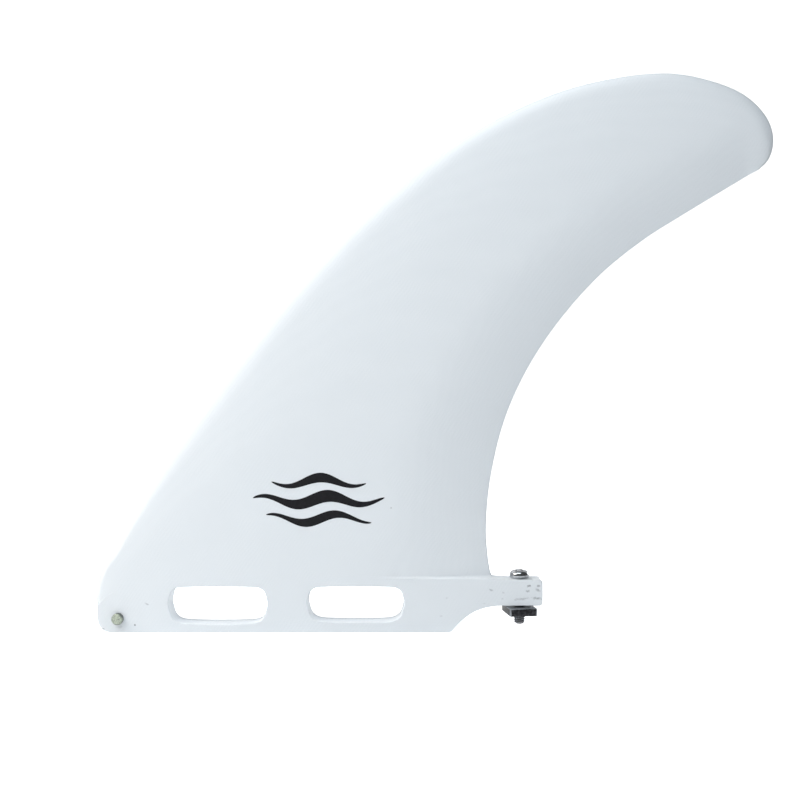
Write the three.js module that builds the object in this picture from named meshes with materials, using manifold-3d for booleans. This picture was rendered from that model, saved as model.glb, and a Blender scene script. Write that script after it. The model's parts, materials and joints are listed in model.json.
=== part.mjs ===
// Longboard centre fin for a standard single-fin box: a one-piece laminated blade and base,
// the cross pin pressed into its front corner, and the screw and plate nut that clamp its rear tab.
// Millimetres, +Z up. +X points to the rear of the board, -Y is the side that carries the print.
// The origin is the middle of the flat underside of the base.
import * as THREE from "three";
import { mergeVertices } from "three/addons/utils/BufferGeometryUtils.js";
import Module from "manifold-3d";

const wasm = await Module();
wasm.setup();

// ---- driving dimensions ----
const BASE = {
  thickness: 9.3,
  height: 19, // up to the ledge beside the blade
  front: -65,
  frontCorner: 6,
  bottomRear: 58.6,
  tabTop: 18.45, // the screw's seat, behind the blade
  tabUnderside: 9.35,
  tabEnd: 91,
  tabCorner: 1.3,
};
const WINDOWS = [
  { x: -22.6, z: 9.5, width: 34.8, height: 13.1 },
  { x: 25.6, z: 9.8, width: 34.1, height: 12.6 },
];
const WINDOW_BULGE = 0.55; // the routed sides bow outwards by this much
const WINDOW_CORNER = { top: 4, bottom: 5.6 };

const BLADE = {
  bottom: 8, // the blade starts inside the base, at this height
  buriedRear: 58, // and reaches back to here at that height
  rootRowsTo: 30, // its rows of points are closest together up to here
  thickness: BASE.thickness,
  tipThickness: 3.4,
  taperStart: 62, // full thickness below this height
  riseAtBase: 10, // width of the band behind the leading edge where the blade thickens
  riseAtMiddle: 36,
  thinningAtBase: 0.1, // how much thinner, as a share, the blade is where that band starts
  thinning: 0.3,
  noseShare: 0.25, // the part of the band that the rounded nose takes
  tailAtBase: 46, // length of the thinned trailing edge
  tail: 34,
  edge: 0.9, // thickness of the edges themselves
  edgeAtBase: 3.2, // the trailing edge is blunter down by the base
};
// Points that the edges pass through, [x, z], from the base upwards. The rounded leading edge
// runs on around the tip, to the small corner where the thin trailing edge begins.
const LEADING_EDGE = [
  [-64.9, 7.3], [-66.1, 11.8], [-65, 19], [-62.7, 24.7], [-59.7, 29.2], [-56.3, 36],
  [-47.1, 53], [-36.2, 70], [-23.9, 87], [3, 121], [37.6, 154.8], [69.7, 177.5],
  [101.9, 191.6], [133.7, 196.8], [150, 194.4], [163.3, 188.8], [171.2, 180.3],
  [173.1, 172.5], [171.3, 166.1], [168, 162.7],
];
const TRAILING_EDGE = [
  [80, 17.2], [75.8, 18.2], [73.9, 19], [73.1, 20.6], [72.3, 25], [71.5, 36],
  [73.4, 55.8], [79.6, 78.5], [91.5, 101.1], [110, 123.7], [127.2, 137.9],
  [140.4, 146.3], [163.9, 160.5],
];

const PIN = { x: -57.4, z: 4.9, diameter: 4, length: 12.9, chamfer: 0.35, clearance: 0.05 };
const SCREW = {
  x: 83.3,
  diameter: 4,
  length: 16,
  tipChamfer: 0.6,
  headDiameter: 7,
  headHeight: 3,
  headRim: 0.9, // straight part of the head below its dome
  slotLength: 4.1,
  slotWidth: 1.05,
  slotDepth: 1.5,
  clearance: 0.25, // around the shank, in the tab and in the plate
};
const PLATE = {
  length: 9.8,
  width: 12.7,
  thickness: 2.8,
  top: 8.7,
  edge: 0.3, // rounding of its edges
  corner: 0.5, // radius of its upright corners
  turn: 8,
};
const DECAL = { x: 12.7, z: 46.3, width: 46, height: 21, film: 0.12 };

// ---- materials ----
const resin = new THREE.MeshStandardMaterial({ color: 0xe4e9ee, roughness: 0.38 });
const steel = new THREE.MeshStandardMaterial({ color: 0x9a9d9c, roughness: 0.3, metalness: 1 });
const dullSteel = new THREE.MeshStandardMaterial({
  color: 0x8c908a,
  roughness: 0.45,
  metalness: 1,
});
const darkSteel = new THREE.MeshStandardMaterial({
  color: 0x4b4a49,
  roughness: 0.5,
  metalness: 1,
});
const ink = new THREE.MeshStandardMaterial({ color: 0x141416, roughness: 0.5 });

// ---- solids ----
function toSolid(geometry) {
  const bare = geometry.clone().deleteAttribute("normal").deleteAttribute("uv");
  const merged = mergeVertices(bare, 1e-4);
  return new wasm.Manifold(
    new wasm.Mesh({
      numProp: 3,
      vertProperties: merged.attributes.position.array,
      triVerts: new Uint32Array(merged.index.array),
    }),
  );
}

function toGeometry(solid) {
  const mesh = solid.getMesh();
  const geometry = new THREE.BufferGeometry();
  geometry.setAttribute("position", new THREE.BufferAttribute(mesh.vertProperties, 3));
  geometry.setIndex(new THREE.BufferAttribute(mesh.triVerts, 1));
  geometry.computeVertexNormals();
  return geometry;
}

// An outline drawn in X and Z, given a thickness along Y and centred on the XZ plane.
function plateOf(outline, thickness, curveSegments = 8) {
  const geometry = new THREE.ExtrudeGeometry(outline, {
    depth: thickness,
    bevelEnabled: false,
    curveSegments,
  });
  return geometry.rotateX(Math.PI / 2).translate(0, thickness / 2, 0);
}

function verticalCylinder(x, diameter, bottom, top, sides = 32) {
  const geometry = new THREE.CylinderGeometry(diameter / 2, diameter / 2, top - bottom, sides);
  return geometry.rotateX(Math.PI / 2).translate(x, 0, (bottom + top) / 2);
}

// ---- base ----
function baseOutline() {
  const { height, front, frontCorner, bottomRear, tabTop, tabUnderside, tabEnd, tabCorner } = BASE;
  const outline = new THREE.Shape();
  outline.moveTo(front + frontCorner, 0);
  outline.lineTo(bottomRear - 1, 0);
  outline.quadraticCurveTo(bottomRear + 0.4, 0, bottomRear + 1.3, 1.2);
  outline.bezierCurveTo(63.4, 5, 67, tabUnderside - 0.4, 76, tabUnderside);
  outline.lineTo(tabEnd - tabCorner, tabUnderside);
  outline.quadraticCurveTo(tabEnd, tabUnderside, tabEnd, tabUnderside + tabCorner);
  outline.lineTo(tabEnd, tabTop - tabCorner);
  outline.quadraticCurveTo(tabEnd, tabTop, tabEnd - tabCorner, tabTop);
  outline.lineTo(78, tabTop);
  outline.bezierCurveTo(75, tabTop, 75, height, 72, height);
  outline.lineTo(-46, height);
  outline.bezierCurveTo(-55, 17, -61, 14.5, front, 9.3);
  outline.lineTo(front, frontCorner + 1);
  outline.bezierCurveTo(front, 2.5, front + 1.8, 0, front + frontCorner, 0);
  return outline;
}

// A routed slot: straight-sided in outline, with round corners and slightly bowed sides.
function windowOutline({ x, z, width, height }) {
  const [left, right] = [x - width / 2, x + width / 2];
  const [bottom, top] = [z - height / 2, z + height / 2];
  const bow = WINDOW_BULGE;
  const { top: r, bottom: low } = WINDOW_CORNER;
  const outline = new THREE.Shape();
  outline.moveTo(left + low, bottom + bow / 2);
  outline.quadraticCurveTo(x, bottom - bow / 2, right - low, bottom + bow / 2);
  outline.quadraticCurveTo(right - bow, bottom + bow, right - bow, bottom + low);
  outline.quadraticCurveTo(right + bow, z, right - bow, top - r);
  outline.quadraticCurveTo(right - bow, top - bow, right - r, top - bow / 2);
  outline.quadraticCurveTo(x, top + bow / 2, left + r, top - bow / 2);
  outline.quadraticCurveTo(left + bow, top - bow, left + bow, top - r);
  outline.quadraticCurveTo(left - bow, z, left + bow, bottom + low);
  outline.quadraticCurveTo(left + bow, bottom + bow, left + low, bottom + bow / 2);
  return outline;
}

// ---- blade ----
// The smooth edge through a list of points, as a fine polyline.
function edgeLine(points) {
  const knots = points.map(([x, z]) => new THREE.Vector3(x, 0, z));
  return new THREE.CatmullRomCurve3(knots).getPoints(12 * knots.length);
}

const roundedEdge = edgeLine(LEADING_EDGE);
const thinEdge = edgeLine(TRAILING_EDGE);
const apex = roundedEdge.findIndex((p, i) => i > 0 && p.z < roundedEdge[i - 1].z);
const buriedCorner = new THREE.Vector3(BLADE.buriedRear, 0, BLADE.bottom);
const bladeTop = roundedEdge[apex - 1].z - 0.005;
const frontLine = roundedEdge.slice(0, apex);
const rearLine = [buriedCorner, ...thinEdge, ...roundedEdge.slice(apex - 1).reverse()];

function xAtHeight(line, z) {
  const above = Math.max(1, line.findIndex((p) => p.z > z));
  const [a, b] = [line[above - 1], line[above]];
  return THREE.MathUtils.lerp(a.x, b.x, (z - a.z) / (b.z - a.z));
}

function distanceTo(line, point) {
  const nearest = new THREE.Vector3();
  const stretch = new THREE.Line3();
  const distances = line.slice(1).map((end, i) => {
    stretch.set(line[i], end).closestPointToPoint(point, true, nearest);
    return nearest.distanceTo(point);
  });
  return Math.min(...distances);
}

// Half of the blade's thickness at a point of its outline.
function halfThickness(x, z) {
  const { lerp, clamp, smoothstep } = THREE.MathUtils;
  const point = new THREE.Vector3(x, 0, z);
  const rise = clamp((z - BLADE.taperStart) / (bladeTop - BLADE.taperStart), 0, 1);
  const full = lerp(BLADE.thickness, BLADE.tipThickness, rise ** 1.3) / 2;
  const riseLength =
    lerp(BLADE.riseAtBase, BLADE.riseAtMiddle, smoothstep(z, 10, 90)) * lerp(1, 0.45, rise ** 2);
  const tailLength = lerp(BLADE.tailAtBase, BLADE.tail, smoothstep(z, 18, 34)) * lerp(1, 0.5, rise);
  const fromNose = distanceTo(roundedEdge, point);
  const nose = Math.min(1, fromNose / (BLADE.noseShare * riseLength));
  const thinning = lerp(BLADE.thinningAtBase, BLADE.thinning, smoothstep(z, 15, 70));
  const slowRise = 1 - thinning * (1 - Math.min(1, fromNose / riseLength)) ** 2;
  const tail = Math.min(1, distanceTo(thinEdge, point) / tailLength);
  const fullness = Math.sqrt(1 - (1 - nose) ** 2) * slowRise * (1 - (1 - tail) ** 1.7);
  const edge = lerp(BLADE.edgeAtBase, BLADE.edge, smoothstep(z, 20, 80)) * nose ** 0.5;
  return lerp(Math.max(edge, BLADE.edge) / 2, full, fullness);
}

// Heights of the blade's rows of points: even at the root, then closer towards the tip.
function rowHeights(rootRows = 12, upperRows = 40) {
  const { bottom, rootRowsTo } = BLADE;
  const heights = [];
  for (let i = 0; i < rootRows; i++) heights.push(bottom + ((rootRowsTo - bottom) * i) / rootRows);
  for (let i = 0; i <= upperRows; i++)
    heights.push(rootRowsTo + (bladeTop - rootRowsTo) * (1 - (1 - i / upperRows) ** 1.8));
  return heights;
}

// Rows of points across the blade, on both sides of it.
function bladeGeometry(columns = 24) {
  const positions = [];
  const heights = rowHeights();
  const rows = heights.length - 1;
  for (const z of heights) {
    const [front, rear] = [xAtHeight(frontLine, z), xAtHeight(rearLine, z)];
    for (let j = 0; j <= columns; j++) {
      const x = THREE.MathUtils.lerp(front, rear, (1 - Math.cos((Math.PI * j) / columns)) / 2);
      const half = halfThickness(x, z);
      positions.push(x, -half, z, x, half, z);
    }
  }
  const at = (i, j, side) => 2 * (i * (columns + 1) + j) + side;
  const index = [];
  const quad = (a, b, c, d) => index.push(a, b, c, a, c, d);
  for (let i = 0; i < rows; i++) {
    for (let j = 0; j < columns; j++) {
      quad(at(i, j, 0), at(i, j + 1, 0), at(i + 1, j + 1, 0), at(i + 1, j, 0));
      quad(at(i, j, 1), at(i + 1, j, 1), at(i + 1, j + 1, 1), at(i, j + 1, 1));
    }
    quad(at(i, 0, 0), at(i + 1, 0, 0), at(i + 1, 0, 1), at(i, 0, 1));
    quad(at(i, columns, 0), at(i, columns, 1), at(i + 1, columns, 1), at(i + 1, columns, 0));
  }
  for (let j = 0; j < columns; j++) {
    quad(at(0, j, 0), at(0, j, 1), at(0, j + 1, 1), at(0, j + 1, 0));
    quad(at(rows, j, 0), at(rows, j + 1, 0), at(rows, j + 1, 1), at(rows, j, 1));
  }
  const geometry = new THREE.BufferGeometry();
  geometry.setAttribute("position", new THREE.Float32BufferAttribute(positions, 3));
  geometry.setIndex(index);
  return geometry;
}

// ---- sub-parts ----
function finBody() {
  const cutDepth = BASE.thickness + 4;
  let fin = toSolid(plateOf(baseOutline(), BASE.thickness)).add(toSolid(bladeGeometry()));
  for (const window of WINDOWS)
    fin = fin.subtract(toSolid(plateOf(windowOutline(window), cutDepth, 6)));
  const screwHole = verticalCylinder(SCREW.x, SCREW.diameter + 2 * SCREW.clearance, 5, 40);
  const pinHole = new THREE.CylinderGeometry(
    PIN.diameter / 2 + PIN.clearance,
    PIN.diameter / 2 + PIN.clearance,
    cutDepth,
    32,
  ).translate(PIN.x, 0, PIN.z);
  return toGeometry(fin.subtract(toSolid(screwHole)).subtract(toSolid(pinHole)));
}

function crossPin() {
  const [r, half, c] = [PIN.diameter / 2, PIN.length / 2, PIN.chamfer];
  const profile = [
    [0, -half], [r - c, -half], [r, -half + c], [r, half - c], [r - c, half], [0, half],
  ];
  return new THREE.LatheGeometry(profile.map(([x, y]) => new THREE.Vector2(x, y)), 32);
}

// A pan-head machine screw, its head resting on z = 0, with a cross recess in the head.
function clampScrew() {
  const { diameter, length, tipChamfer, headDiameter, headHeight, headRim } = SCREW;
  const profile = new THREE.Path();
  profile.moveTo(0, -length);
  profile.lineTo(diameter / 2 - tipChamfer, -length);
  profile.lineTo(diameter / 2, -length + tipChamfer);
  profile.lineTo(diameter / 2, 0);
  profile.lineTo(headDiameter / 2 - 0.2, 0);
  profile.lineTo(headDiameter / 2, 0.2);
  profile.lineTo(headDiameter / 2, headRim);
  profile.bezierCurveTo(
    headDiameter / 2, headHeight * 0.75, headDiameter / 3.4, headHeight, 0, headHeight,
  );
  const body = new THREE.LatheGeometry(profile.getPoints(7), 40).rotateX(Math.PI / 2);
  let screw = toSolid(body);
  for (const turn of [0, Math.PI / 2]) {
    const slot = new THREE.BoxGeometry(SCREW.slotLength, SCREW.slotWidth, 2 * SCREW.slotDepth);
    slot.rotateZ(turn + Math.PI / 5).translate(0, 0, headHeight);
    screw = screw.subtract(toSolid(slot));
  }
  return toGeometry(screw);
}

// The plate nut, its top face on z = 0, with the screw's hole through its middle.
function plateNut() {
  const { length, width, thickness, edge, corner } = PLATE;
  const outline = new THREE.Shape();
  const [x, y, round] = [length / 2 - edge, width / 2 - edge, corner - edge];
  outline.moveTo(-x + round, -y);
  outline.lineTo(x - round, -y);
  outline.quadraticCurveTo(x, -y, x, -y + round);
  outline.lineTo(x, y - round);
  outline.quadraticCurveTo(x, y, x - round, y);
  outline.lineTo(-x + round, y);
  outline.quadraticCurveTo(-x, y, -x, y - round);
  outline.lineTo(-x, -y + round);
  outline.quadraticCurveTo(-x, -y, -x + round, -y);
  const block = new THREE.ExtrudeGeometry(outline, {
    depth: thickness - 2 * edge,
    bevelEnabled: true,
    bevelThickness: edge,
    bevelSize: edge,
    bevelSegments: 2,
    curveSegments: 3,
  }).translate(0, 0, edge - thickness);
  const hole = verticalCylinder(0, SCREW.diameter + 2 * SCREW.clearance, -thickness - 2, 2);
  return toGeometry(toSolid(block).subtract(toSolid(hole)));
}

function sideDecal() {
  return new THREE.BoxGeometry(DECAL.width, DECAL.film, DECAL.height);
}

// ---- the assembly ----
function named(name, geometry, material) {
  const mesh = new THREE.Mesh(geometry, material);
  mesh.name = name;
  return mesh;
}

const fin = new THREE.Group();
fin.add(named("fin_body", finBody(), resin));

const pin = named("cross_pin", crossPin(), dullSteel);
pin.position.set(PIN.x, 0, PIN.z);
fin.add(pin);

const decal = named("side_decal", sideDecal(), ink);
decal.position.set(DECAL.x, -(BLADE.thickness + DECAL.film) / 2, DECAL.z);
fin.add(decal);

const screw = named("clamp_screw", clampScrew(), steel);
screw.position.set(SCREW.x, 0, BASE.tabTop);
fin.add(screw);

const plate = named("plate_nut", plateNut(), darkSteel);
plate.position.set(SCREW.x, 0, PLATE.top);
plate.rotation.z = THREE.MathUtils.degToRad(PLATE.turn);
fin.add(plate);

export default fin;
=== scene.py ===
"""Looks of a longboard centre fin: laminated fin, cross pin, print, clamp screw and plate nut.

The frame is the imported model's: +Z up the blade, +X to the rear, -Y the printed side. Lengths of
the fin and its hardware are millimetres, and become metres where a mesh is made. The stage, the
lights and the camera are placed in metres.
"""
import json
import math

import bpy
import bmesh
import numpy as np
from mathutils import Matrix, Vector
from mathutils.geometry import tessellate_polygon


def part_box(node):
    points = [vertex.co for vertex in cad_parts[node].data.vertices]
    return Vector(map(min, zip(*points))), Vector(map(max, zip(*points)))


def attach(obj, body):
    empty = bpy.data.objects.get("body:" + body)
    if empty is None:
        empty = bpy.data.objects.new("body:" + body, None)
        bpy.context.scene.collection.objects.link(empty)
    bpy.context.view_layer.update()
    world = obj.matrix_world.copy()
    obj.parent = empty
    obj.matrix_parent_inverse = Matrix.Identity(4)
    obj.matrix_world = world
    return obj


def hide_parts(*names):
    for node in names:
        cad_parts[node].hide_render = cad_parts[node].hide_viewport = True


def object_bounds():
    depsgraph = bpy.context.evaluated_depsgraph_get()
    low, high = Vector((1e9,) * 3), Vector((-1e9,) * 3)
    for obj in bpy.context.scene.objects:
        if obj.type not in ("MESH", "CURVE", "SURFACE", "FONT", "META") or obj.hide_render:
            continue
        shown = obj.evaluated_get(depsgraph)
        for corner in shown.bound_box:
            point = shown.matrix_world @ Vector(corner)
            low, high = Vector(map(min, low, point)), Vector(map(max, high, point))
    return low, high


MM = 0.001
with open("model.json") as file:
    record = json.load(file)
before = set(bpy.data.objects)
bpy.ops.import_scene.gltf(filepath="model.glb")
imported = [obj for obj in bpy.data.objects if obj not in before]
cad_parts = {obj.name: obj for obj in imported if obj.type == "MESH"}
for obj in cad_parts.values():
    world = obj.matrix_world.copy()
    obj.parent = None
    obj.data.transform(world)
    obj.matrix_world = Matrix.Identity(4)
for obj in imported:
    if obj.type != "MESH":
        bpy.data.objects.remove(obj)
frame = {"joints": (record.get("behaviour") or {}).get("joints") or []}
cad_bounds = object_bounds()


def box_mm(node):
    """Lowest and highest corner of a CAD node, in millimetres."""
    low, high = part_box(node)
    return np.array(low) / MM, np.array(high) / MM


FIN_LOW, FIN_HIGH = box_mm("fin_body")
PIN_LOW, PIN_HIGH = box_mm("cross_pin")
SCREW_LOW, SCREW_HIGH = box_mm("clamp_screw")
PLATE_LOW, PLATE_HIGH = box_mm("plate_nut")
DECAL_LOW, DECAL_HIGH = box_mm("side_decal")
SCREW_JOINT = next(j for j in frame["joints"] if j["name"] == "screw_turn")
SCREW_X = SCREW_JOINT["pos_m"][0] / MM
TAB_TOP = SCREW_JOINT["pos_m"][2] / MM

# ---- the fin's outline, the same edges as the CAD solid ----
HALF = FIN_HIGH[1]
LEDGE = 19.0  # top of the base beside the blade
BASE_FRONT = -65.0
FRONT_CORNER = 6.0
BOTTOM_REAR = 58.6
TAB_UNDERSIDE = 9.35
TAB_END = 91.0
TAB_CORNER = 1.3
ARC_END = -46.0
ARC_FOOT = 9.3
WINDOW_BULGE = 0.55
WINDOW_TOP_CORNER = 4.0
WINDOW_LOW_CORNER = 5.6
WINDOWS = [(-22.6, 9.5, 34.8, 13.1), (25.6, 9.8, 34.1, 12.6)]
ROOT_FILLET = 0.7  # where the blade meets the ledge
LEADING_EDGE = [
    (-64.9, 7.3), (-66.1, 11.8), (-65, 19), (-62.7, 24.7), (-59.7, 29.2), (-56.3, 36),
    (-47.1, 53), (-36.2, 70), (-23.9, 87), (3, 121), (37.6, 154.8), (69.7, 177.5),
    (101.9, 191.6), (133.7, 196.8), (150, 194.4), (163.3, 188.8), (171.2, 180.3),
    (173.1, 172.5), (171.3, 166.1), (168, 162.7),
]
TRAILING_EDGE = [
    (80, 17.2), (75.8, 18.2), (73.9, 19), (73.1, 20.6), (72.3, 25), (71.5, 36),
    (73.4, 55.8), (79.6, 78.5), (91.5, 101.1), (110, 123.7), (127.2, 137.9),
    (140.4, 146.3), (163.9, 160.5),
]
TAB_START = 73
WINDOW_EDGE = 0.45  # how much the windows' rims are rounded
TIP_START, TIP_END, TIP_THICKNESS = 62, 196.7, 3.4  # heights where the blade thins, and to what

# ---- hardware and print ----
ROUND_SIDES = 48
HOLE_RADIUS = 2.25  # the screw's holes in the tab and in the plate
PLATE_HOLE_MOUTH, PLATE_HOLE_BEVEL = 2.6, 0.35
PLATE_TURN = math.radians(8)
PLATE_HALF_LENGTH, PLATE_HALF_WIDTH, PLATE_CORNER = 4.9, 6.35, 0.45
PLATE_LOWER_RIM, PLATE_UPPER_RIM = 0.3, 0.42
THREAD_MAJOR, THREAD_MINOR, THREAD_PITCH = 2.0, 1.72, 0.7
PRINT_PROUD = 0.03

# ---- looks ----
WEAVE_PITCH, WEAVE_ANGLE = 1.1, math.radians(55)
LAYER_PITCH = 0.27  # spacing of the cloth layers through the thickness
# The stage and the world have one strength in the picture and another as a light.
SEEN = 1.0
FLOOR_CAST, BACKDROP_CAST, WORLD_CAST = 0.12, 0.45, 0.1


# ---- curves ----
def spline(points, steps=24):
    """A smooth line through the points: a centripetal Catmull-Rom curve."""
    p = np.array(points, float)
    p = np.vstack([2 * p[0] - p[1], p, 2 * p[-1] - p[-2]])
    t = np.linspace(0, 1, steps, endpoint=False)[:, None]
    line = []
    for a, b, c, d in zip(p, p[1:], p[2:], p[3:]):
        ab, bc, cd = (math.sqrt(np.linalg.norm(s)) for s in (b - a, c - b, d - c))
        m0 = ((b - a) / ab - (c - a) / (ab + bc) + (c - b) / bc) * bc
        m1 = ((c - b) / bc - (d - b) / (bc + cd) + (d - c) / cd) * bc
        line.append(
            b + m0 * t + (3 * (c - b) - 2 * m0 - m1) * t**2 + (2 * (b - c) + m0 + m1) * t**3
        )
    return np.vstack([*line, p[-2]])


def bezier(*points, steps=16):
    """Points along a quadratic or cubic Bezier curve, without its last point."""
    p = np.array(points, float)
    t = np.linspace(0, 1, steps, endpoint=False)[:, None]
    while len(p) > 1:
        p = [a + (b - a) * t for a, b in zip(p, p[1:])]
    return p[0]


def resample(closed_line, spacing):
    """The same closed line with points at even distances."""
    p = np.vstack([closed_line, closed_line[:1]])
    run = np.concatenate([[0], np.cumsum(np.linalg.norm(np.diff(p, axis=0), axis=1))])
    at = np.linspace(0, run[-1], int(run[-1] / spacing), endpoint=False)
    return np.stack([np.interp(at, run, p[:, 0]), np.interp(at, run, p[:, 1])], 1)


def eased(loop, passes):
    """The closed loop with its kinks smoothed away."""
    for _ in range(passes):
        loop = (np.roll(loop, 1, 0) + 2 * loop + np.roll(loop, -1, 0)) / 4
    return loop


def distance_to(line, x, z):
    """Distance from each point (x, z) to the line."""
    best = np.full(x.shape, np.inf)
    for a, b in zip(line, line[1:]):
        ab = b - a
        t = ((x - a[0]) * ab[0] + (z - a[1]) * ab[1]) / (ab @ ab)
        t = np.clip(t, 0, 1)
        best = np.minimum(best, np.hypot(x - a[0] - t * ab[0], z - a[1] - t * ab[1]))
    return best


def smoothstep(value, low, high):
    """A smooth climb from 0 at low to 1 at high."""
    t = np.clip((value - low) / (high - low), 0, 1)
    return t * t * (3 - 2 * t)


ROUNDED_EDGE = spline(LEADING_EDGE)
THIN_EDGE = spline(TRAILING_EDGE)
APEX = int(np.argmax(ROUNDED_EDGE[:, 1]))
FRONT_LINE = ROUNDED_EDGE[: APEX + 1]
REAR_LINE = np.vstack([THIN_EDGE, ROUNDED_EDGE[APEX:][::-1]])
ARC = bezier((ARC_END, LEDGE), (-55, 17), (-61, 14.5), (BASE_FRONT, ARC_FOOT), steps=40)[::-1]


# ---- mesh helpers ----
class MeshMaker:
    """Collects points, faces and known normals, in millimetres."""

    def __init__(self):
        self.points, self.faces, self.normals = [], [], []

    def add(self, points, normals=None):
        """Adds points and returns their numbers. Without a normal, Blender works it out."""
        points = np.asarray(points, float)
        first = len(self.points)
        self.points.extend(points)
        self.normals.extend(np.zeros_like(points) if normals is None else normals)
        return np.arange(first, first + len(points))

    def strip(self, a, b, closed=False):
        """Quads between two rows of point numbers."""
        for i in range(len(a) if closed else len(a) - 1):
            k = (i + 1) % len(a)
            self.faces.append((a[i], a[k], b[k], b[i]))

    def object(self, name, material):
        """One object, its coinciding points joined, each face corner keeping its own normal."""
        places, joined = np.unique(np.round(self.points, 5), axis=0, return_inverse=True)
        joined = joined.reshape(-1)
        faces, corner_normals = [], []
        for face in self.faces:
            corners = {joined[i]: i for i in face}
            if len(corners) > 2:
                faces.append(tuple(corners))
                corner_normals.extend(tuple(self.normals[i]) for i in corners.values())
        mesh = bpy.data.meshes.new(name)
        mesh.from_pydata([tuple(p * MM) for p in places], [], faces)
        mesh.shade_smooth()
        if np.any(corner_normals):
            mesh.normals_split_custom_set(corner_normals)
        mesh.materials.append(material)
        made = bpy.data.objects.new(name, mesh)
        bpy.context.scene.collection.objects.link(made)
        return made


def outward(loop):
    """Unit normals of a closed counter-clockwise loop, at its points."""
    along = np.roll(loop, -1, 0) - np.roll(loop, 1, 0)
    normal = np.stack([along[:, 1], -along[:, 0]], 1)
    return normal / np.linalg.norm(normal, axis=1)[:, None]


# ---- blade ----
def half_thickness(x, z):
    """Half of the blade's thickness: a round nose, a slow rise, a flat middle and a thin tail."""
    rise = np.clip((z - TIP_START) / (TIP_END - TIP_START), 0, 1)
    full = (2 * HALF + (TIP_THICKNESS - 2 * HALF) * rise**1.3) / 2
    rise_length = (10 + 26 * smoothstep(z, 10, 90)) * (1 - 0.55 * rise**2)
    tail_length = (46 - 12 * smoothstep(z, 18, 34)) * (1 - 0.5 * rise)
    from_nose, from_tail = distance_to(ROUNDED_EDGE, x, z), distance_to(THIN_EDGE, x, z)
    nose = np.clip(from_nose / (0.25 * rise_length), 0, 1)
    gain = 0.1 + 0.2 * smoothstep(z, 15, 70)
    slow_rise = 1 - gain * (1 - np.clip(from_nose / rise_length, 0, 1)) ** 2
    round_nose = np.sqrt(1 - (1 - nose) ** 2) * slow_rise
    tail = 1 - (1 - np.clip(from_tail / tail_length, 0, 1)) ** 1.7
    edge = np.maximum((3.2 - 2.3 * smoothstep(z, 20, 80)) * np.sqrt(nose), 0.9) / 2
    lip_radius = 0.15 + 0.25 * (1 - smoothstep(z, 25, 70))
    lip = np.sqrt(1 - (1 - np.clip(from_tail / lip_radius, 0, 1)) ** 2)
    foil = edge + (full - edge) * round_nose * tail
    return np.minimum(foil, full * round_nose) * (0.12 + 0.88 * lip)


def across_line(line, z):
    """Where the line is, along X, at a height."""
    return np.interp(z, line[:, 1], line[:, 0])


def blade_rows(root_rows=26, rows=250, columns=130, join=27.0):
    """A grid of points over the blade, from its root line on the base up to the apex."""
    across = (1 - np.cos(np.linspace(0, math.pi, columns))) / 2
    toe_x, toe_z = LEADING_EDGE[0]
    x_root = toe_x + (across_line(THIN_EDGE, LEDGE) - toe_x) * across
    sunk = 0.8 * np.clip((-57 - x_root) / 4, 0, 1) + 1.2 * np.clip((-64 - x_root) / 0.9, 0, 1)
    z_root = np.where(x_root < ARC_END, np.interp(x_root, ARC[:, 0], ARC[:, 1]) - sunk, LEDGE)
    z_root[0] = toe_z
    front, rear = across_line(FRONT_LINE, z_root), across_line(REAR_LINE, z_root)
    share_root = np.clip((x_root - front) / (rear - front), 0, 1)
    heights, shares = [], []
    for t in np.linspace(0, 1, root_rows, endpoint=False):
        heights.append(z_root + (join - z_root) * t)
        shares.append(share_root + (across - share_root) * t)
    top = FRONT_LINE[-1, 1] - 0.001
    for t in np.linspace(0, 1, rows):
        heights.append(np.full(columns, join + (top - join) * (1 - (1 - t) ** 2)))
        shares.append(across)
    z, share = np.array(heights), np.array(shares)
    front, rear = across_line(FRONT_LINE, z), across_line(REAR_LINE, z)
    x = front + (rear - front) * share
    return np.clip(x, FIN_LOW[0], FIN_HIGH[0]), np.clip(z, FIN_LOW[2], FIN_HIGH[2])


def grid_normals(points, side):
    """Normals of one side of the blade, from the slopes of its grid of points."""
    up, back = np.gradient(points, axis=0), np.gradient(points, axis=1)
    normals = side * np.cross(up, back)
    for column, turned in ((0, 1), (-1, -1)):
        edge = up[:, column]
        normals[:, column] = np.stack([-edge[:, 2], np.zeros(len(edge)), edge[:, 0]], 1) * turned
    length = np.linalg.norm(normals, axis=2, keepdims=True)
    normals /= np.maximum(length, 1e-12)
    normals[-1] = 0
    return normals


def add_blade(maker):
    """The foiled blade, with a hidden row of points below its foot that reaches into the base."""
    x, z = blade_rows()
    half = half_thickness(x, z)
    lift = np.clip(z - LEDGE, 0, ROOT_FILLET)
    fillet = ROOT_FILLET - np.sqrt(ROOT_FILLET**2 - (ROOT_FILLET - lift) ** 2)
    half = np.where(x > ARC_END, np.minimum(HALF, half + fillet), half)
    hidden = np.clip(half[0] - 0.25, 0.01, None)
    sides = []
    for side in (-1, 1):
        points = np.stack([x, side * half, z], 2)
        numbers = maker.add(points.reshape(-1, 3), grid_normals(points, side).reshape(-1, 3))
        foot = maker.add(np.stack([x[0], side * hidden, z[0] - 0.6], 1))
        sides.append(np.vstack([foot, numbers.reshape(x.shape)]))
    near, far = sides
    for i in range(len(near) - 1):
        maker.strip(near[i], near[i + 1])
        maker.strip(far[i + 1], far[i])
    maker.strip(near[:, 0], far[:, 0])
    maker.strip(far[:, -1], near[:, -1])
    maker.strip(far[0], near[0])
    maker.strip(near[-1], far[-1])


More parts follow.
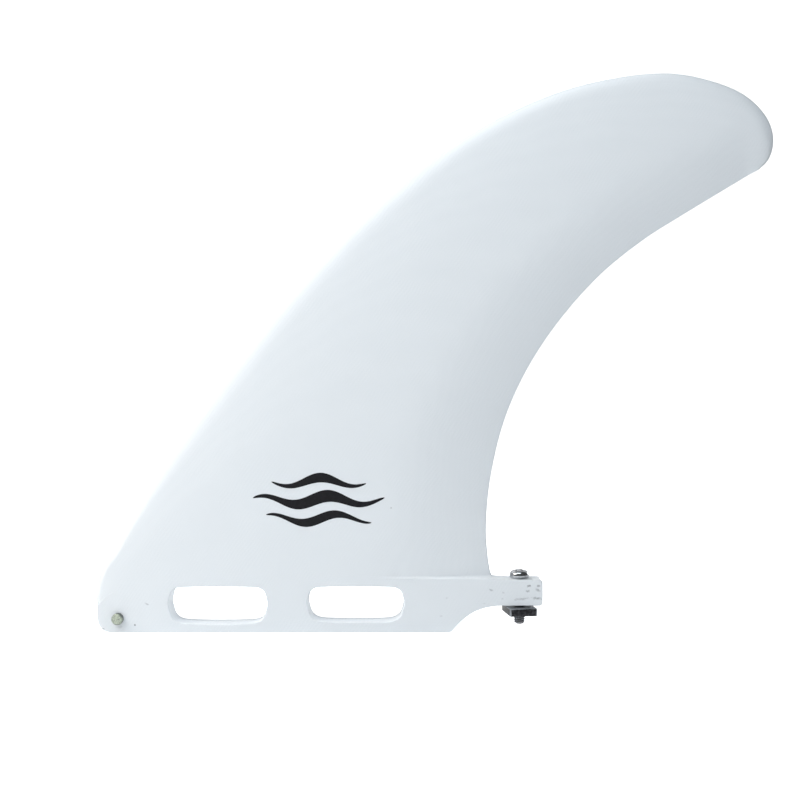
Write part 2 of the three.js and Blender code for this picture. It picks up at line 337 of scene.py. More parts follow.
# ---- base ----
def base_outline():
    """The side view of the base, counter-clockwise, with its corners rounded."""
    front, rear, low, end, r = BASE_FRONT, BOTTOM_REAR, TAB_UNDERSIDE, TAB_END, TAB_CORNER
    line = np.vstack([
        bezier(
            (front, FRONT_CORNER + 1), (front, 2.5), (front + 1.8, 0), (front + FRONT_CORNER, 0)
        ),
        bezier((front + FRONT_CORNER, 0), (rear - 1, 0), steps=60),
        bezier((rear - 1, 0), (rear + 0.4, 0), (rear + 1.3, 1.2), steps=6),
        bezier((rear + 1.3, 1.2), (63.4, 5), (67, low - 0.4), (76, low)),
        bezier((76, low), (end - r, low), steps=12),
        bezier((end - r, low), (end, low), (end, low + r), steps=8),
        bezier((end, low + r), (end, TAB_TOP - r), steps=6),
        bezier((end, TAB_TOP - r), (end, TAB_TOP), (end - r, TAB_TOP), steps=8),
        bezier((end - r, TAB_TOP), (78, TAB_TOP), steps=20),
        bezier((78, TAB_TOP), (75, TAB_TOP), (75, LEDGE), (72, LEDGE), steps=16),
        bezier((72, LEDGE), (ARC_END, LEDGE), steps=120),
        ARC[::-1],
        bezier((front, ARC_FOOT), (front, FRONT_CORNER + 1), steps=6),
    ])
    return resample(line, 0.3)


def window_outline(x, z, width, height):
    """A routed slot with round corners and slightly bowed sides, clockwise."""
    left, right, bottom, top = x - width / 2, x + width / 2, z - height / 2, z + height / 2
    r, low, bow = WINDOW_TOP_CORNER, WINDOW_LOW_CORNER, WINDOW_BULGE
    b, t, l, e = bottom + bow / 2, top - bow / 2, left + bow, right - bow
    line = np.vstack([
        bezier((left + low, b), (x, bottom - bow / 2), (right - low, b)),
        bezier((right - low, b), (e, bottom + bow), (e, bottom + low)),
        bezier((e, bottom + low), (right + bow, z), (e, top - r)),
        bezier((e, top - r), (e, top - bow), (right - r, t)),
        bezier((right - r, t), (x, top + bow / 2), (left + r, t)),
        bezier((left + r, t), (l, top - bow), (l, top - r)),
        bezier((l, top - r), (left - bow, z), (l, bottom + low)),
        bezier((l, bottom + low), (l, bottom + bow), (left + low, b)),
    ])
    return eased(resample(line, 0.4), 10)[::-1]


def edge_radius(loop):
    """How much the base's edge is eased: not at all where the blade runs flush into it."""
    x, z = loop[:, 0], loop[:, 1]
    on_top = (z > TAB_TOP - 0.2) & (x > ARC_END)
    step = HALF - half_thickness(x, np.full_like(x, LEDGE))
    top_radius = np.where(x > TAB_START, 0.4, np.clip(0.5 * step, 0.01, 0.45))
    on_arc = (x < ARC_END) & (z > ARC_FOOT)
    arc_radius = 0.3 * smoothstep(-x, 52, 60) + 0.01
    lower = np.where(x > TAB_START, 0.35, 0.12) + 0.7 * smoothstep(z, 1, 4) * (x < -62)
    return np.where(on_top, top_radius, np.where(on_arc, arc_radius, lower))


def add_edge(maker, loop, radius, wall_skip=None, steps=5):
    """One edge loop of the base on both sides, with its wall.

    Returns the borders of the flat faces, then the rings at the ends of the wall.
    """
    normal = outward(loop)
    borders, feet = [], []
    for side in (-1, 1):
        previous = None
        for turn in np.linspace(0, math.pi / 2, steps + 1):
            inset = (radius * (1 - math.cos(turn)))[:, None]
            at = loop - normal * inset
            y = side * (HALF - radius + radius * math.sin(turn))
            points = np.stack([at[:, 0], y, at[:, 1]], 1)
            n = np.stack([
                normal[:, 0] * math.cos(turn),
                np.full(len(loop), side * math.sin(turn)),
                normal[:, 1] * math.cos(turn),
            ], 1)
            ring = maker.add(points, n)
            if previous is None:
                feet.append(ring)
            elif side < 0:
                maker.strip(previous, ring, closed=True)
            else:
                maker.strip(ring, previous, closed=True)
            previous = ring
        borders.append(previous)
    near, far = feet
    count = len(loop)
    for i in range(count):
        k = (i + 1) % count
        if wall_skip is None or not (wall_skip[i] and wall_skip[k]):
            maker.faces.append((near[i], far[i], far[k], near[k]))
    return borders, feet


def fill(maker, loops, normal):
    """A flat face inside the first loop of point numbers and outside the others."""
    numbers = np.concatenate(loops)
    outlines = [[Vector(maker.points[i]) for i in loop] for loop in loops]
    for triangle in tessellate_polygon(outlines):
        a, b, c = (maker.points[numbers[i]] for i in triangle)
        turned = np.dot(np.cross(b - a, c - a), normal) < 0
        corners = [numbers[i] for i in triangle]
        maker.faces.append(tuple(corners[::-1] if turned else corners))


def add_screw_hole(maker, outer, feet):
    """The tab's top and underside around the screw hole, and the hole's wall."""
    near, far = feet
    turn = np.linspace(0, 2 * math.pi, ROUND_SIDES, endpoint=False)
    ring_x, ring_y = SCREW_X + HOLE_RADIUS * np.cos(turn), HOLE_RADIUS * np.sin(turn)
    out = np.stack([-np.cos(turn), -np.sin(turn), np.zeros_like(turn)], 1)
    walls = []
    for z, up in ((TAB_UNDERSIDE, -1), (TAB_TOP, 1)):
        here = np.flatnonzero(screw_stretch(outer) & (np.abs(outer[:, 1] - z) < 0.05))
        flat = np.tile((0.0, 0.0, up), (2 * len(here), 1))
        border = np.concatenate([near[here], far[here][::-1]])
        border = maker.add([maker.points[i] for i in border], flat)
        circle = np.stack([ring_x, ring_y, np.full_like(turn, z)], 1)
        ring = maker.add(circle, np.tile((0.0, 0.0, up), (ROUND_SIDES, 1)))
        fill(maker, [border, ring], (0, 0, up))
        walls.append(maker.add(circle, out))
    maker.strip(walls[1], walls[0], closed=True)


def screw_stretch(loop):
    """Which points of the outline lie beside the screw hole, on the tab's top or underside."""
    beside = np.abs(loop[:, 0] - SCREW_X) < 4.2
    level = np.minimum(abs(loop[:, 1] - TAB_TOP), abs(loop[:, 1] - TAB_UNDERSIDE)) < 0.05
    return beside & level


def add_base(maker):
    """The box base with its two windows, and the rear tab with its screw hole."""
    outer = base_outline()
    radius = edge_radius(outer)
    beside = screw_stretch(outer)
    borders, feet = add_edge(maker, outer, radius, beside)
    loops = [[borders[0]], [borders[1]]]
    for window in WINDOWS:
        edge = window_outline(*window)
        inner, _ = add_edge(maker, edge, np.full(len(edge), WINDOW_EDGE))
        loops[0].append(inner[0])
        loops[1].append(inner[1])
    fill(maker, loops[0], (0, -1, 0))
    fill(maker, loops[1], (0, 1, 0))
    add_screw_hole(maker, outer, feet)


def make_fin(material):
    """The whole laminated fin as one object."""
    maker = MeshMaker()
    add_blade(maker)
    add_base(maker)
    fin = maker.object("laminated_fin", material)
    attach(fin, "fin")
    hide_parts("fin_body")
    return fin


# ---- lathe-turned pieces ----
def lathe(maker, radii, heights, sides, centre, axis):
    """Turns a profile about an axis through centre. A profile that starts and ends at no radius
    makes a closed piece."""
    turn = np.linspace(0, 2 * math.pi, sides, endpoint=False)
    previous = None
    for r, h in zip(radii, heights):
        a, b = r * np.cos(turn), r * np.sin(turn)
        column = np.full(sides, h)
        points = np.stack([a, b, column], 1) if axis == "z" else np.stack([b, column, a], 1)
        ring = maker.add(points + centre)
        if previous is not None:
            maker.strip(previous, ring, closed=True)
        previous = ring


def make_pin(material):
    """The pressed-in cross pin, with chamfered ends and faintly dished end faces."""
    centre = (PIN_LOW + PIN_HIGH) / 2
    r, half = (PIN_HIGH[0] - PIN_LOW[0]) / 2, (PIN_HIGH[1] - PIN_LOW[1]) / 2
    end = [(0, half - 0.12), (0.5, half - 0.1), (1.1, half - 0.03), (1.45, half), (1.6, half),
           (1.68, half - 0.03), (r - 0.06, half - 0.33), (r, half - 0.42), (r, half - 0.6)]
    profile = [(a, -b) for a, b in end] + [(a, b) for a, b in end[::-1]]
    maker = MeshMaker()
    lathe(maker, [p[0] for p in profile], [p[1] for p in profile], 64, centre, "y")
    pin = maker.object("pressed_pin", material)
    pin.data.set_sharp_from_angle(angle=math.radians(28))
    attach(pin, "fin")
    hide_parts("cross_pin")
    return pin


def make_screw(material):
    """The pan-head machine screw: threaded shank, domed head and cross recess."""
    centre = np.array([SCREW_X, 0, TAB_TOP])
    bottom, top = SCREW_LOW[2] - TAB_TOP, SCREW_HIGH[2] - TAB_TOP
    maker = MeshMaker()
    turn = np.linspace(0, 2 * math.pi, ROUND_SIDES, endpoint=False)
    previous = None
    for h in np.arange(bottom, -0.3, 0.05):
        phase = (h / THREAD_PITCH - turn / (2 * math.pi)) % 1.0
        tooth = np.clip(1 - np.abs(phase - 0.5) / 0.44, 0, 1)
        radius = THREAD_MINOR + (THREAD_MAJOR - THREAD_MINOR) * np.clip(tooth * 1.15, 0, 1)
        radius = np.minimum(radius, 1.25 + 1.1 * (h - bottom))
        column = np.full(ROUND_SIDES, h)
        points = np.stack([radius * np.cos(turn), radius * np.sin(turn), column], 1)
        ring = maker.add(points + centre)
        if previous is None:
            maker.faces.append(tuple(ring[::-1]))
        else:
            maker.strip(previous, ring, closed=True)
        previous = ring
    shank = maker.object("screw_shank", material)

    head = MeshMaker()
    r = (SCREW_HIGH[0] - SCREW_LOW[0]) / 2
    seat = bezier((r - 0.6, 0), (r - 0.1, 0), (r, 0.9), steps=8)
    dome = bezier((r, 0.9), (r, top * 0.82), (r * 0.75, top), (0, top), steps=24)
    profile = [(0, 0), *map(tuple, seat), *map(tuple, dome), (0, top)]
    lathe(head, [p[0] for p in profile], [p[1] for p in profile], 96, centre, "z")
    dome_piece = head.object("screw_head", material)
    weld(dome_piece)
    cut_recess(dome_piece, centre + np.array([0, 0, top]))
    for piece in (shank, dome_piece):
        piece.data.set_sharp_from_angle(angle=math.radians(32))
        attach(piece, "screw")
        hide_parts("clamp_screw")
    return shank, dome_piece


def weld(obj, distance=1e-6):
    """Merges the points that lie on one another."""
    b = bmesh.new()
    b.from_mesh(obj.data)
    bmesh.ops.remove_doubles(b, verts=b.verts, dist=distance)
    bmesh.ops.recalc_face_normals(b, faces=b.faces)
    b.to_mesh(obj.data)
    b.free()


def apply_modifiers(obj):
    """Puts the result of obj's modifiers into its mesh."""
    graph = bpy.context.evaluated_depsgraph_get()
    mesh = bpy.data.meshes.new_from_object(obj.evaluated_get(graph))
    obj.modifiers.clear()
    obj.data = mesh


def cut_recess(head, crown):
    """Cuts a tapered cross recess down from the crown of the head."""
    b = bmesh.new()
    for turn in (0, math.pi / 2):
        corners = []
        for z, length, width in ((0.4, 2.25, 0.62), (-1.6, 0.75, 0.36)):
            for sx, sy in ((-1, -1), (1, -1), (1, 1), (-1, 1)):
                x, y = sx * length, sy * width
                angle = turn + math.pi / 5
                corners.append(b.verts.new(Vector((
                    crown[0] + x * math.cos(angle) - y * math.sin(angle),
                    crown[1] + x * math.sin(angle) + y * math.cos(angle),
                    crown[2] + z,
                )) * MM))
        top, low = corners[:4], corners[4:]
        b.faces.new(top)
        b.faces.new(low[::-1])
        for i in range(4):
            k = (i + 1) % 4
            b.faces.new((top[k], top[i], low[i], low[k]))
    bmesh.ops.recalc_face_normals(b, faces=b.faces)
    mesh = bpy.data.meshes.new("recess_cutter")
    b.to_mesh(mesh)
    b.free()
    cutter = bpy.data.objects.new("recess_cutter", mesh)
    bpy.context.scene.collection.objects.link(cutter)
    cut = head.modifiers.new("recess", "BOOLEAN")
    cut.operation, cut.object, cut.solver, cut.use_self = "DIFFERENCE", cutter, "EXACT", True
    bpy.context.view_layer.update()
    apply_modifiers(head)
    bpy.data.objects.remove(cutter)


# ---- plate nut ----
def plate_ring(maker, centre, inset, height):
    """One ring of the plate: a rectangle with round corners, turned by the plate's angle."""
    half_x, half_y = PLATE_HALF_LENGTH - PLATE_CORNER, PLATE_HALF_WIDTH - PLATE_CORNER
    ring = []
    for k, (sx, sy) in enumerate(((1, 1), (-1, 1), (-1, -1), (1, -1))):
        for turn in np.linspace(0, math.pi / 2, 7) + k * math.pi / 2:
            reach = PLATE_CORNER - inset
            x, y = sx * half_x + reach * math.cos(turn), sy * half_y + reach * math.sin(turn)
            ring.append((
                centre[0] + x * math.cos(PLATE_TURN) - y * math.sin(PLATE_TURN),
                centre[1] + x * math.sin(PLATE_TURN) + y * math.cos(PLATE_TURN),
                centre[2] + height,
            ))
    return maker.add(ring)


def make_plate(material):
    """The sheared plate nut: a rounded upper rim, a sharper lower one and a tapped hole."""
    centre = (PLATE_LOW + PLATE_HIGH) / 2
    half = (PLATE_HIGH[2] - PLATE_LOW[2]) / 2
    maker = MeshMaker()
    rings = []
    for turn in np.linspace(0, math.pi / 2, 6):
        inset = PLATE_LOWER_RIM * (1 - math.sin(turn))
        height = PLATE_LOWER_RIM * (1 - math.cos(turn)) - half
        rings.append(plate_ring(maker, centre, inset, height))
    for turn in np.linspace(0, math.pi / 2, 7):
        inset = PLATE_UPPER_RIM * (1 - math.cos(turn))
        height = half - PLATE_UPPER_RIM * (1 - math.sin(turn))
        rings.append(plate_ring(maker, centre, inset, height))
    for low, high in zip(rings, rings[1:]):
        maker.strip(low, high, closed=True)
    around = np.linspace(0, 2 * math.pi, ROUND_SIDES, endpoint=False)
    hole = []
    for r, height in (
        (PLATE_HOLE_MOUTH, -half), (HOLE_RADIUS, PLATE_HOLE_BEVEL - half),
        (HOLE_RADIUS, half - PLATE_HOLE_BEVEL), (PLATE_HOLE_MOUTH, half),
    ):
        column = np.full(ROUND_SIDES, height)
        circle = np.stack([r * np.cos(around), r * np.sin(around), column], 1)
        hole.append(maker.add(circle + centre))
    for low, high in zip(hole, hole[1:]):
        maker.strip(high, low, closed=True)
    fill(maker, [rings[0], hole[0]], (0, 0, -1))
    fill(maker, [rings[-1], hole[-1]], (0, 0, 1))
    plate = maker.object("tapped_plate", material)
    plate.data.set_sharp_from_angle(angle=math.radians(30))
    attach(plate, "plate")
    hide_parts("plate_nut")
    return plate


# ---- printed mark ----
def add_film(maker, x, low, high):
    """A closed patch of film on the blade's side, between two curves along x."""
    outline = np.concatenate([np.stack([x, low], 1), np.stack([x, high], 1)[::-1]])
    rings = []
    for y in (-HALF - PRINT_PROUD, -HALF + PRINT_PROUD):
        side = np.full(len(outline), y)
        rings.append(maker.add(np.stack([outline[:, 0], side, outline[:, 1]], 1)))
    count = len(x)
    for ring, turned in ((rings[0], 1), (rings[1], -1)):
        lower, upper = ring[:count], ring[count:][::-1]
        maker.strip(*(lower, upper)[::turned])
    maker.strip(rings[1], rings[0], closed=True)


def make_print(material):
    """A generic mark: three rolling swell lines that taper at both ends, printed on the side."""
    centre = (DECAL_LOW + DECAL_HIGH) / 2
    half_width = (DECAL_HIGH[0] - DECAL_LOW[0]) / 2
    maker = MeshMaker()
    for offset, share, thick in ((6.4, 0.72, 3.4), (0.0, 1.0, 4.4), (-6.4, 0.8, 3.4)):
        t = np.sin(np.linspace(-math.pi / 2, math.pi / 2, 90))
        x = centre[0] + t * half_width * share
        body = thick / 2 * np.sqrt(1 - t**2) * (0.78 + 0.22 * np.cos(4 * t))
        middle = centre[2] + offset + 1.5 * np.sin(2 * math.pi * t * share + 0.6 + offset * 0.12)
        add_film(maker, x, middle - body, middle + body)
    mark = maker.object("printed_swell", material)
    mark.data.set_sharp_from_angle(angle=math.radians(40))
    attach(mark, "fin")
    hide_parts("side_decal")
    return mark


# ---- materials ----
class Nodes:
    """Short ways to build a material's nodes."""

    def __init__(self, name):
        self.material = bpy.data.materials.new(name)
        self.material.use_nodes = True
        self.tree = self.material.node_tree
        self.shader = self.tree.nodes["Principled BSDF"]
        coordinates = self.tree.nodes.new("ShaderNodeTexCoord")
        scaled = self.tree.nodes.new("ShaderNodeVectorMath")
        scaled.operation = "SCALE"
        scaled.inputs["Scale"].default_value = 1 / MM
        self.link(coordinates.outputs["Object"], scaled.inputs[0])
        self.place = scaled.outputs[0]

    def link(self, a, b):
        self.tree.links.new(a, b)

    def math(self, operation, a, b=0.0, clamp=False):
        """One operation on numbers or sockets."""
        node = self.tree.nodes.new("ShaderNodeMath")
        node.operation, node.use_clamp = operation, clamp
        for socket, value in zip(node.inputs, (a, b)):
            if isinstance(value, (int, float)):
                socket.default_value = value
            else:
                self.link(value, socket)
        return node.outputs[0]

    def split(self, vector):
        """The x, y and z of a vector."""
        node = self.tree.nodes.new("ShaderNodeSeparateXYZ")
        self.link(vector, node.inputs[0])
        return node.outputs

    def turn(self, a, b, angle):
        """The two coordinates along axes turned by an angle."""
        cos, sin = math.cos(angle), math.sin(angle)
        along = self.math("ADD", self.math("MULTIPLY", a, cos), self.math("MULTIPLY", b, sin))
        across = self.math("SUBTRACT", self.math("MULTIPLY", b, cos), self.math("MULTIPLY", a, sin))
        return along, across

    def noise(self, scale, detail=2.0, roughness=0.5):
        """Noise over the object's millimetres. A larger scale makes it finer."""
        node = self.tree.nodes.new("ShaderNodeTexNoise")
        node.inputs["Scale"].default_value = scale
        node.inputs["Detail"].default_value = detail
        node.inputs["Roughness"].default_value = roughness
        self.link(self.place, node.inputs["Vector"])
        return node.outputs[0]

    def ramp(self, value, *stops):
        """A colour ramp through (position, colour or grey level) stops."""
        node = self.tree.nodes.new("ShaderNodeValToRGB")
        elements = node.color_ramp.elements
        while len(elements) < len(stops):
            elements.new(0.5)
        for element, (position, colour) in zip(elements, stops):
            grey = isinstance(colour, (int, float))
            element.position = position
            element.color = (colour, colour, colour, 1) if grey else (*colour, 1)
        self.link(value, node.inputs[0])
        return node.outputs[0]

    def mix(self, factor, a, b):
        """A colour between a, at factor 0, and b, at factor 1."""
        node = self.tree.nodes.new("ShaderNodeMix")
        node.data_type = "RGBA"
        for socket, value in ((node.inputs[0], factor), (node.inputs[6], a), (node.inputs[7], b)):
            if isinstance(value, tuple):
                socket.default_value = (*value, 1)
            elif isinstance(value, (int, float)):
                socket.default_value = value
            else:
                self.link(value, socket)
        return node.outputs[2]

    def bump(self, height, distance):
        """Surface relief of height 0 to 1, as deep as distance, in millimetres."""
        node = self.tree.nodes.new("ShaderNodeBump")
        node.inputs["Distance"].default_value = distance * MM
        node.inputs["Strength"].default_value = 1.0
        self.link(height, node.inputs["Height"])
        self.link(node.outputs[0], self.shader.inputs["Normal"])


# Small marks on the printed side: (x, z, half length, half height, tilt in degrees, darkness).
WEAR_MARKS = [
    (58.2, 138.6, 0.4, 0.35, 0, 0.5), (38.0, 43.6, 0.4, 0.35, 0, 0.5),
    (-62.7, 1.3, 0.5, 0.35, 0, 0.6), (-51.5, 2.7, 0.35, 0.4, 0, 0.9),
    (-47.3, 10.0, 0.9, 0.25, -25, 0.35), (-57.0, 2.0, 1.3, 0.5, 0, 0.15),
    (73.0, 14.9, 0.9, 0.35, -30, 0.4), (77.2, 14.0, 0.7, 0.3, -30, 0.2),
    (76.9, 11.9, 0.4, 0.4, 0, 0.25), (70.5, 10.2, 0.7, 0.3, 10, 0.15),
    (57.5, 12.1, 0.6, 0.3, 20, 0.2), (55.4, 5.8, 0.5, 0.3, 0, 0.2),
    (86.2, 16.3, 0.8, 0.4, 15, 0.7), (89.4, 16.3, 0.7, 0.5, 0, 0.6),
    (85.8, 14.5, 0.8, 0.5, 10, 0.6), (89.3, 14.8, 1.0, 0.5, -15, 0.45),
    (83.7, 11.8, 2.6, 0.5, 8, 0.5), (88.9, 12.0, 1.8, 0.55, -5, 0.6),
]


def wear(n):
    """How dark the marks are at each place: broken blots on the printed side only."""
    worn = 0.0
    broken = n.math("MULTIPLY", n.math("SUBTRACT", n.noise(1.4, 3.0, 0.7), 0.5), 3.2)
    for x, z, length, height, tilt, dark in WEAR_MARKS:
        turned = n.tree.nodes.new("ShaderNodeMapping")
        turned.vector_type = "TEXTURE"
        turned.inputs["Location"].default_value = (x, -HALF, z)
        turned.inputs["Rotation"].default_value = (0, -math.radians(tilt), 0)
        turned.inputs["Scale"].default_value = (length, 1.0, height)
        n.link(n.place, turned.inputs["Vector"])
        reach = n.tree.nodes.new("ShaderNodeVectorMath")
        reach.operation = "LENGTH"
        n.link(turned.outputs[0], reach.inputs[0])
        inside = n.math("SUBTRACT", 1.15, n.math("ADD", reach.outputs["Value"], broken), clamp=True)
        worn = n.math("MAXIMUM", worn, n.math("MULTIPLY", inside, dark))
    return worn


def resin_material():
    """White pigmented resin over woven glass cloth, sanded to a satin finish."""
    n = Nodes("white_laminate")
    x, y, z = n.split(n.place)
    wander = n.math("MULTIPLY", n.math("SUBTRACT", n.noise(0.09, 2.0), 0.5), 2.4)
    along, across = n.turn(x, z, WEAVE_ANGLE)
    turns = 2 * math.pi / WEAVE_PITCH
    warp = n.math("SINE", n.math("MULTIPLY", n.math("ADD", across, wander), turns))
    weft = n.math("SINE", n.math("MULTIPLY", n.math("ADD", along, wander), turns))
    crossing = n.math("MULTIPLY", n.math("MULTIPLY", warp, weft), 0.4)
    weave = n.math("ADD", n.math("MULTIPLY", warp, 0.6), crossing)
    patches = n.ramp(n.noise(0.11, 4.0, 0.7), (0.45, 0.05), (0.62, 1.0))
    cloth = n.math("MULTIPLY", weave, patches)
    depth = n.math("ADD", n.math("ABSOLUTE", y), n.math("MULTIPLY", n.noise(0.05, 3.0), 0.35))
    layer = n.math("SINE", n.math("MULTIPLY", depth, 2 * math.pi / LAYER_PITCH))
    mottle = n.math("SUBTRACT", n.noise(0.03, 4.0, 0.6), 0.5)
    tone = n.math("ADD", n.math("MULTIPLY", cloth, 0.05), n.math("MULTIPLY", layer, 0.01))
    tone = n.math("ADD", n.math("ADD", tone, n.math("MULTIPLY", mottle, 0.05)), 0.5)
    colour = n.mix(tone, (0.62, 0.675, 0.73), (0.95, 0.975, 1.0))
    n.link(n.mix(wear(n), colour, (0.12, 0.13, 0.16)), n.shader.inputs["Base Color"])
    roughness = n.ramp(n.noise(0.8, 3.0), (0.3, 0.36), (0.7, 0.46))
    n.link(roughness, n.shader.inputs["Roughness"])
    grain = n.noise(3.0, 3.0, 0.6)
    n.bump(n.math("ADD", n.math("MULTIPLY", cloth, 0.5), n.math("MULTIPLY", grain, 0.25)), 0.012)
    return n.material


def plate_material():
    """Steel given a near-black colour, a painted dark reflection of its front face, with faint
    tumbling swirls; lighter along its upper rim and corners, partly worn edges and partly a painted
    highlight.
    """
    n = Nodes("sheared_plate")
    centre = (PLATE_LOW + PLATE_HIGH) / 2
    x, y, z = n.split(n.place)
    x, y = n.math("SUBTRACT", x, centre[0]), n.math("SUBTRACT", y, centre[1])
    along, across = n.turn(x, y, PLATE_TURN)
    from_end = n.math("SUBTRACT", PLATE_HALF_LENGTH, n.math("ABSOLUTE", along))
    from_side = n.math("SUBTRACT", PLATE_HALF_WIDTH, n.math("ABSOLUTE", across))
    from_corner = n.math("MAXIMUM", from_end, from_side)
    from_top = n.math("ADD", n.math("SUBTRACT", PLATE_HIGH[2], z), 0.15)
    # Painted highlight and worn edges: nearness to the upper rim and to the four vertical corners,
    # broken by noise, lightens the steel colour.
    wear_and_highlight_distance = n.math("MINIMUM", from_top, from_corner)
    patchy = n.math("MULTIPLY", n.math("SUBTRACT", n.noise(1.1, 3.0), 0.5), 0.5)
    wear_and_highlight_distance = n.math("ADD", wear_and_highlight_distance, patchy)
    bright = n.math("MULTIPLY", n.math("SUBTRACT", 0.6, wear_and_highlight_distance), 5.0, clamp=True)
    swirl = n.noise(0.9, 5.0, 0.75)
    # Painted dark reflection: the near-black steel colour stands in for the dark reflection of the
    # front face, and the swirls vary it at random.
    black = n.ramp(
        swirl,
        (0.42, (0.02, 0.02, 0.022)), (0.56, (0.05, 0.05, 0.054)), (0.66, (0.11, 0.11, 0.12)),
    )
    n.link(n.mix(bright, black, (0.33, 0.34, 0.36)), n.shader.inputs["Base Color"])
    n.shader.inputs["Metallic"].default_value = 1.0
    n.link(n.ramp(swirl, (0.35, 0.24), (0.7, 0.42)), n.shader.inputs["Roughness"])
    n.bump(swirl, 0.06)
    return n.material


def screw_material():
    """Bright stainless steel, with painted shade down in the thread."""
    n = Nodes("bright_screw")
    x, y, z = n.split(n.place)
    off = n.math("SUBTRACT", x, SCREW_X)
    radius = n.math("SQRT", n.math("ADD", n.math("MULTIPLY", off, off), n.math("MULTIPLY", y, y)))
    # Painted shade: the thread's roots get a dark steel colour, while the crests and the head keep
    # the bright one.
    crest = n.math("MULTIPLY", n.math("SUBTRACT", radius, 1.62), 3.2, clamp=True)
    crest = n.math("MAXIMUM", crest, n.math("GREATER_THAN", z, TAB_TOP - 0.2))
    bright = n.ramp(n.noise(1.5, 4.0, 0.65), (0.35, (0.38, 0.39, 0.41)), (0.65, (0.54, 0.55, 0.57)))
    n.link(n.mix(crest, (0.1, 0.1, 0.11), bright), n.shader.inputs["Base Color"])
    n.shader.inputs["Metallic"].default_value = 1.0
    n.link(n.ramp(n.noise(0.9, 3.0), (0.3, 0.1), (0.7, 0.18)), n.shader.inputs["Roughness"])
    n.bump(n.noise(4.0, 3.0), 0.003)
    return n.material


def pin_material():
    """A dull turned pin with a darker side and pale, spotted sheared ends."""
    n = Nodes("dull_pin")
    y = n.split(n.place)[1]
    edge = PIN_HIGH[1] - 0.25
    past_edge = n.math("SUBTRACT", n.math("ABSOLUTE", y), edge - 0.1)
    end = n.math("MULTIPLY", past_edge, 10.0, clamp=True)
    spots = n.noise(1.7, 4.0, 0.7)
    face = n.ramp(spots, (0.38, (0.27, 0.30, 0.26)), (0.54, (0.62, 0.67, 0.57)))
    side = n.ramp(n.noise(3.0, 3.0, 0.6), (0.35, (0.13, 0.14, 0.13)), (0.65, (0.24, 0.25, 0.23)))
    n.link(n.mix(end, side, face), n.shader.inputs["Base Color"])
    n.shader.inputs["Metallic"].default_value = 1.0
    n.link(n.ramp(end, (0.0, 0.35), (1.0, 0.62)), n.shader.inputs["Roughness"])
    n.bump(spots, 0.03)
    return n.material


def ink_material():
    """Black print: a thin satin film with faint unevenness."""
    n = Nodes("black_print")
    cover = n.noise(1.6, 4.0, 0.6)
    n.link(n.ramp(cover, (0.3, (0.006, 0.006, 0.008)), (0.72, (0.013, 0.013, 0.016))),
           n.shader.inputs["Base Color"])
    n.link(n.ramp(cover, (0.3, 0.5), (0.7, 0.62)), n.shader.inputs["Roughness"])
    n.shader.inputs["Specular IOR Level"].default_value = 0.2
    n.bump(cover, 0.004)
    return n.material


# ---- stage, light and camera ----
def seen_or_cast(tree, seen, cast):
    """A strength that is one number as the background of a picture and another as a light."""
    path = tree.nodes.new("ShaderNodeLightPath")
    mix = tree.nodes.new("ShaderNodeMix")
    mix.inputs[2].default_value, mix.inputs[3].default_value = cast, seen
    tree.links.new(path.outputs["Is Camera Ray"], mix.inputs[0])
    return mix.outputs[0]


def stage_material(name, seen, cast):
    """A pale, glowing surface, with one strength in the picture and another as a light."""
    n = Nodes(name)
    n.shader.inputs["Base Color"].default_value = (0.91, 0.93, 0.95, 1)
    n.shader.inputs["Roughness"].default_value = 1.0
    n.shader.inputs["Specular IOR Level"].default_value = 0.0
    n.shader.inputs["Emission Color"].default_value = (1, 1, 1, 1)
    n.link(seen_or_cast(n.tree, seen, cast), n.shader.inputs["Emission Strength"])
    return n.material


def make_sheet(name, profile, material):
    """A wide sheet of the stage that follows a profile of (y, z) points."""
    verts = [(x, y, z) for y, z in profile for x in (-2.6, 2.7)]
    faces = [(2 * i, 2 * i + 1, 2 * i + 3, 2 * i + 2) for i in range(len(profile) - 1)]
    mesh = bpy.data.meshes.new(name)
    mesh.from_pydata(verts, [], faces)
    mesh.shade_smooth()
    mesh.materials.append(material)
    sheet = bpy.data.objects.new(name, mesh)
    bpy.context.scene.collection.objects.link(sheet)


def make_stage():
    """A pale floor that curves up into a brighter backdrop."""
    level, start, bend = cad_bounds[0][2], 0.7, 0.6
    curve = [
        (start + bend * math.sin(a), level + bend * (1 - math.cos(a)))
        for a in np.linspace(0, math.pi / 2, 14)
    ]
    floor = [(-3.0, level), (start, level)]
    make_sheet("floor", floor, stage_material("pale_floor", SEEN, FLOOR_CAST))
    wall = curve + [(start + bend, level + 2.4)]
    make_sheet("backdrop", wall, stage_material("white_backdrop", SEEN, BACKDROP_CAST))


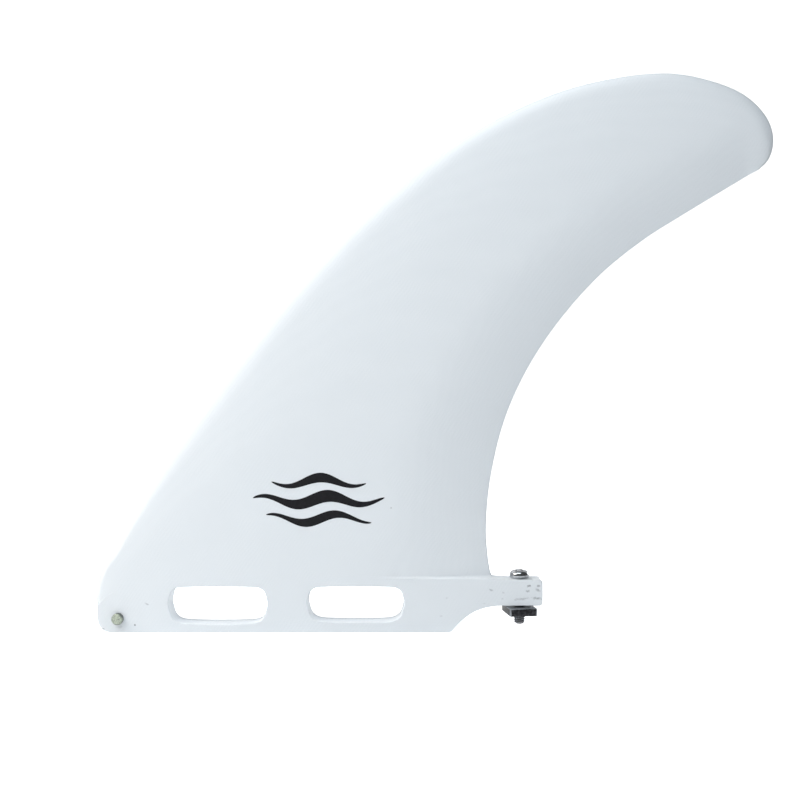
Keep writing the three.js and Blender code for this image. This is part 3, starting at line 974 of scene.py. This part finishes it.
def area_light(name, place, target, size, power, colour=(1, 1, 1)):
    """A rectangular light at place, in metres and watts, that faces target."""
    light = bpy.data.lights.new(name, "AREA")
    light.shape, light.size, light.size_y = "RECTANGLE", size[0], size[1]
    light.energy, light.color = power, colour
    lamp = bpy.data.objects.new(name, light)
    lamp.location = place
    lamp.rotation_euler = (Vector(target) - Vector(place)).to_track_quat("-Z", "Y").to_euler()
    bpy.context.scene.collection.objects.link(lamp)


def make_lights():
    """A grazing key from the upper left, a fill beside it, a soft box above the front, two rims."""
    middle = (0.04, 0.0, 0.08)
    area_light("key_graze", (-0.45, -0.12, 0.40), middle, (0.3, 0.4), 1.9, (1.0, 0.92, 0.82))
    area_light("fill_close", (-0.28, -0.26, 0.36), middle, (0.2, 0.2), 0.7)
    area_light("top_front", (0.0, -0.30, 0.60), middle, (0.4, 0.3), 1.65, (0.87, 0.95, 1.0))
    area_light("rim_left", (-0.30, 0.36, 0.52), middle, (0.4, 0.4), 0.4)
    area_light("rim_right", (0.52, 0.34, 0.16), middle, (0.4, 0.3), 0.9)
    world = bpy.data.worlds.new("studio")
    world.use_nodes = True
    background = world.node_tree.nodes["Background"]
    background.inputs["Color"].default_value = (1, 1, 1, 1)
    strength = seen_or_cast(world.node_tree, SEEN, WORLD_CAST)
    world.node_tree.links.new(strength, background.inputs["Strength"])
    bpy.context.scene.world = world


def make_camera():
    """Level, square to the fin's side, 400 mm in front of its middle plane."""
    camera = bpy.data.cameras.new("camera")
    sensor, distance, view_width = 36, 400, 282.8
    camera.sensor_width = sensor
    camera.lens = sensor * distance / view_width
    camera.clip_start = 0.02
    eye = bpy.data.objects.new("camera", camera)
    eye.location = (0.0411, -0.400, 0.0813)
    eye.rotation_euler = (math.pi / 2, 0, 0)
    bpy.context.scene.collection.objects.link(eye)
    bpy.context.scene.camera = eye
    bpy.context.scene.view_settings.view_transform = "Standard"


def main():
    make_fin(resin_material())
    make_pin(pin_material())
    make_screw(screw_material())
    make_plate(plate_material())
    make_print(ink_material())
    make_stage()
    make_lights()
    make_camera()


main()
bpy.context.view_layer.update()
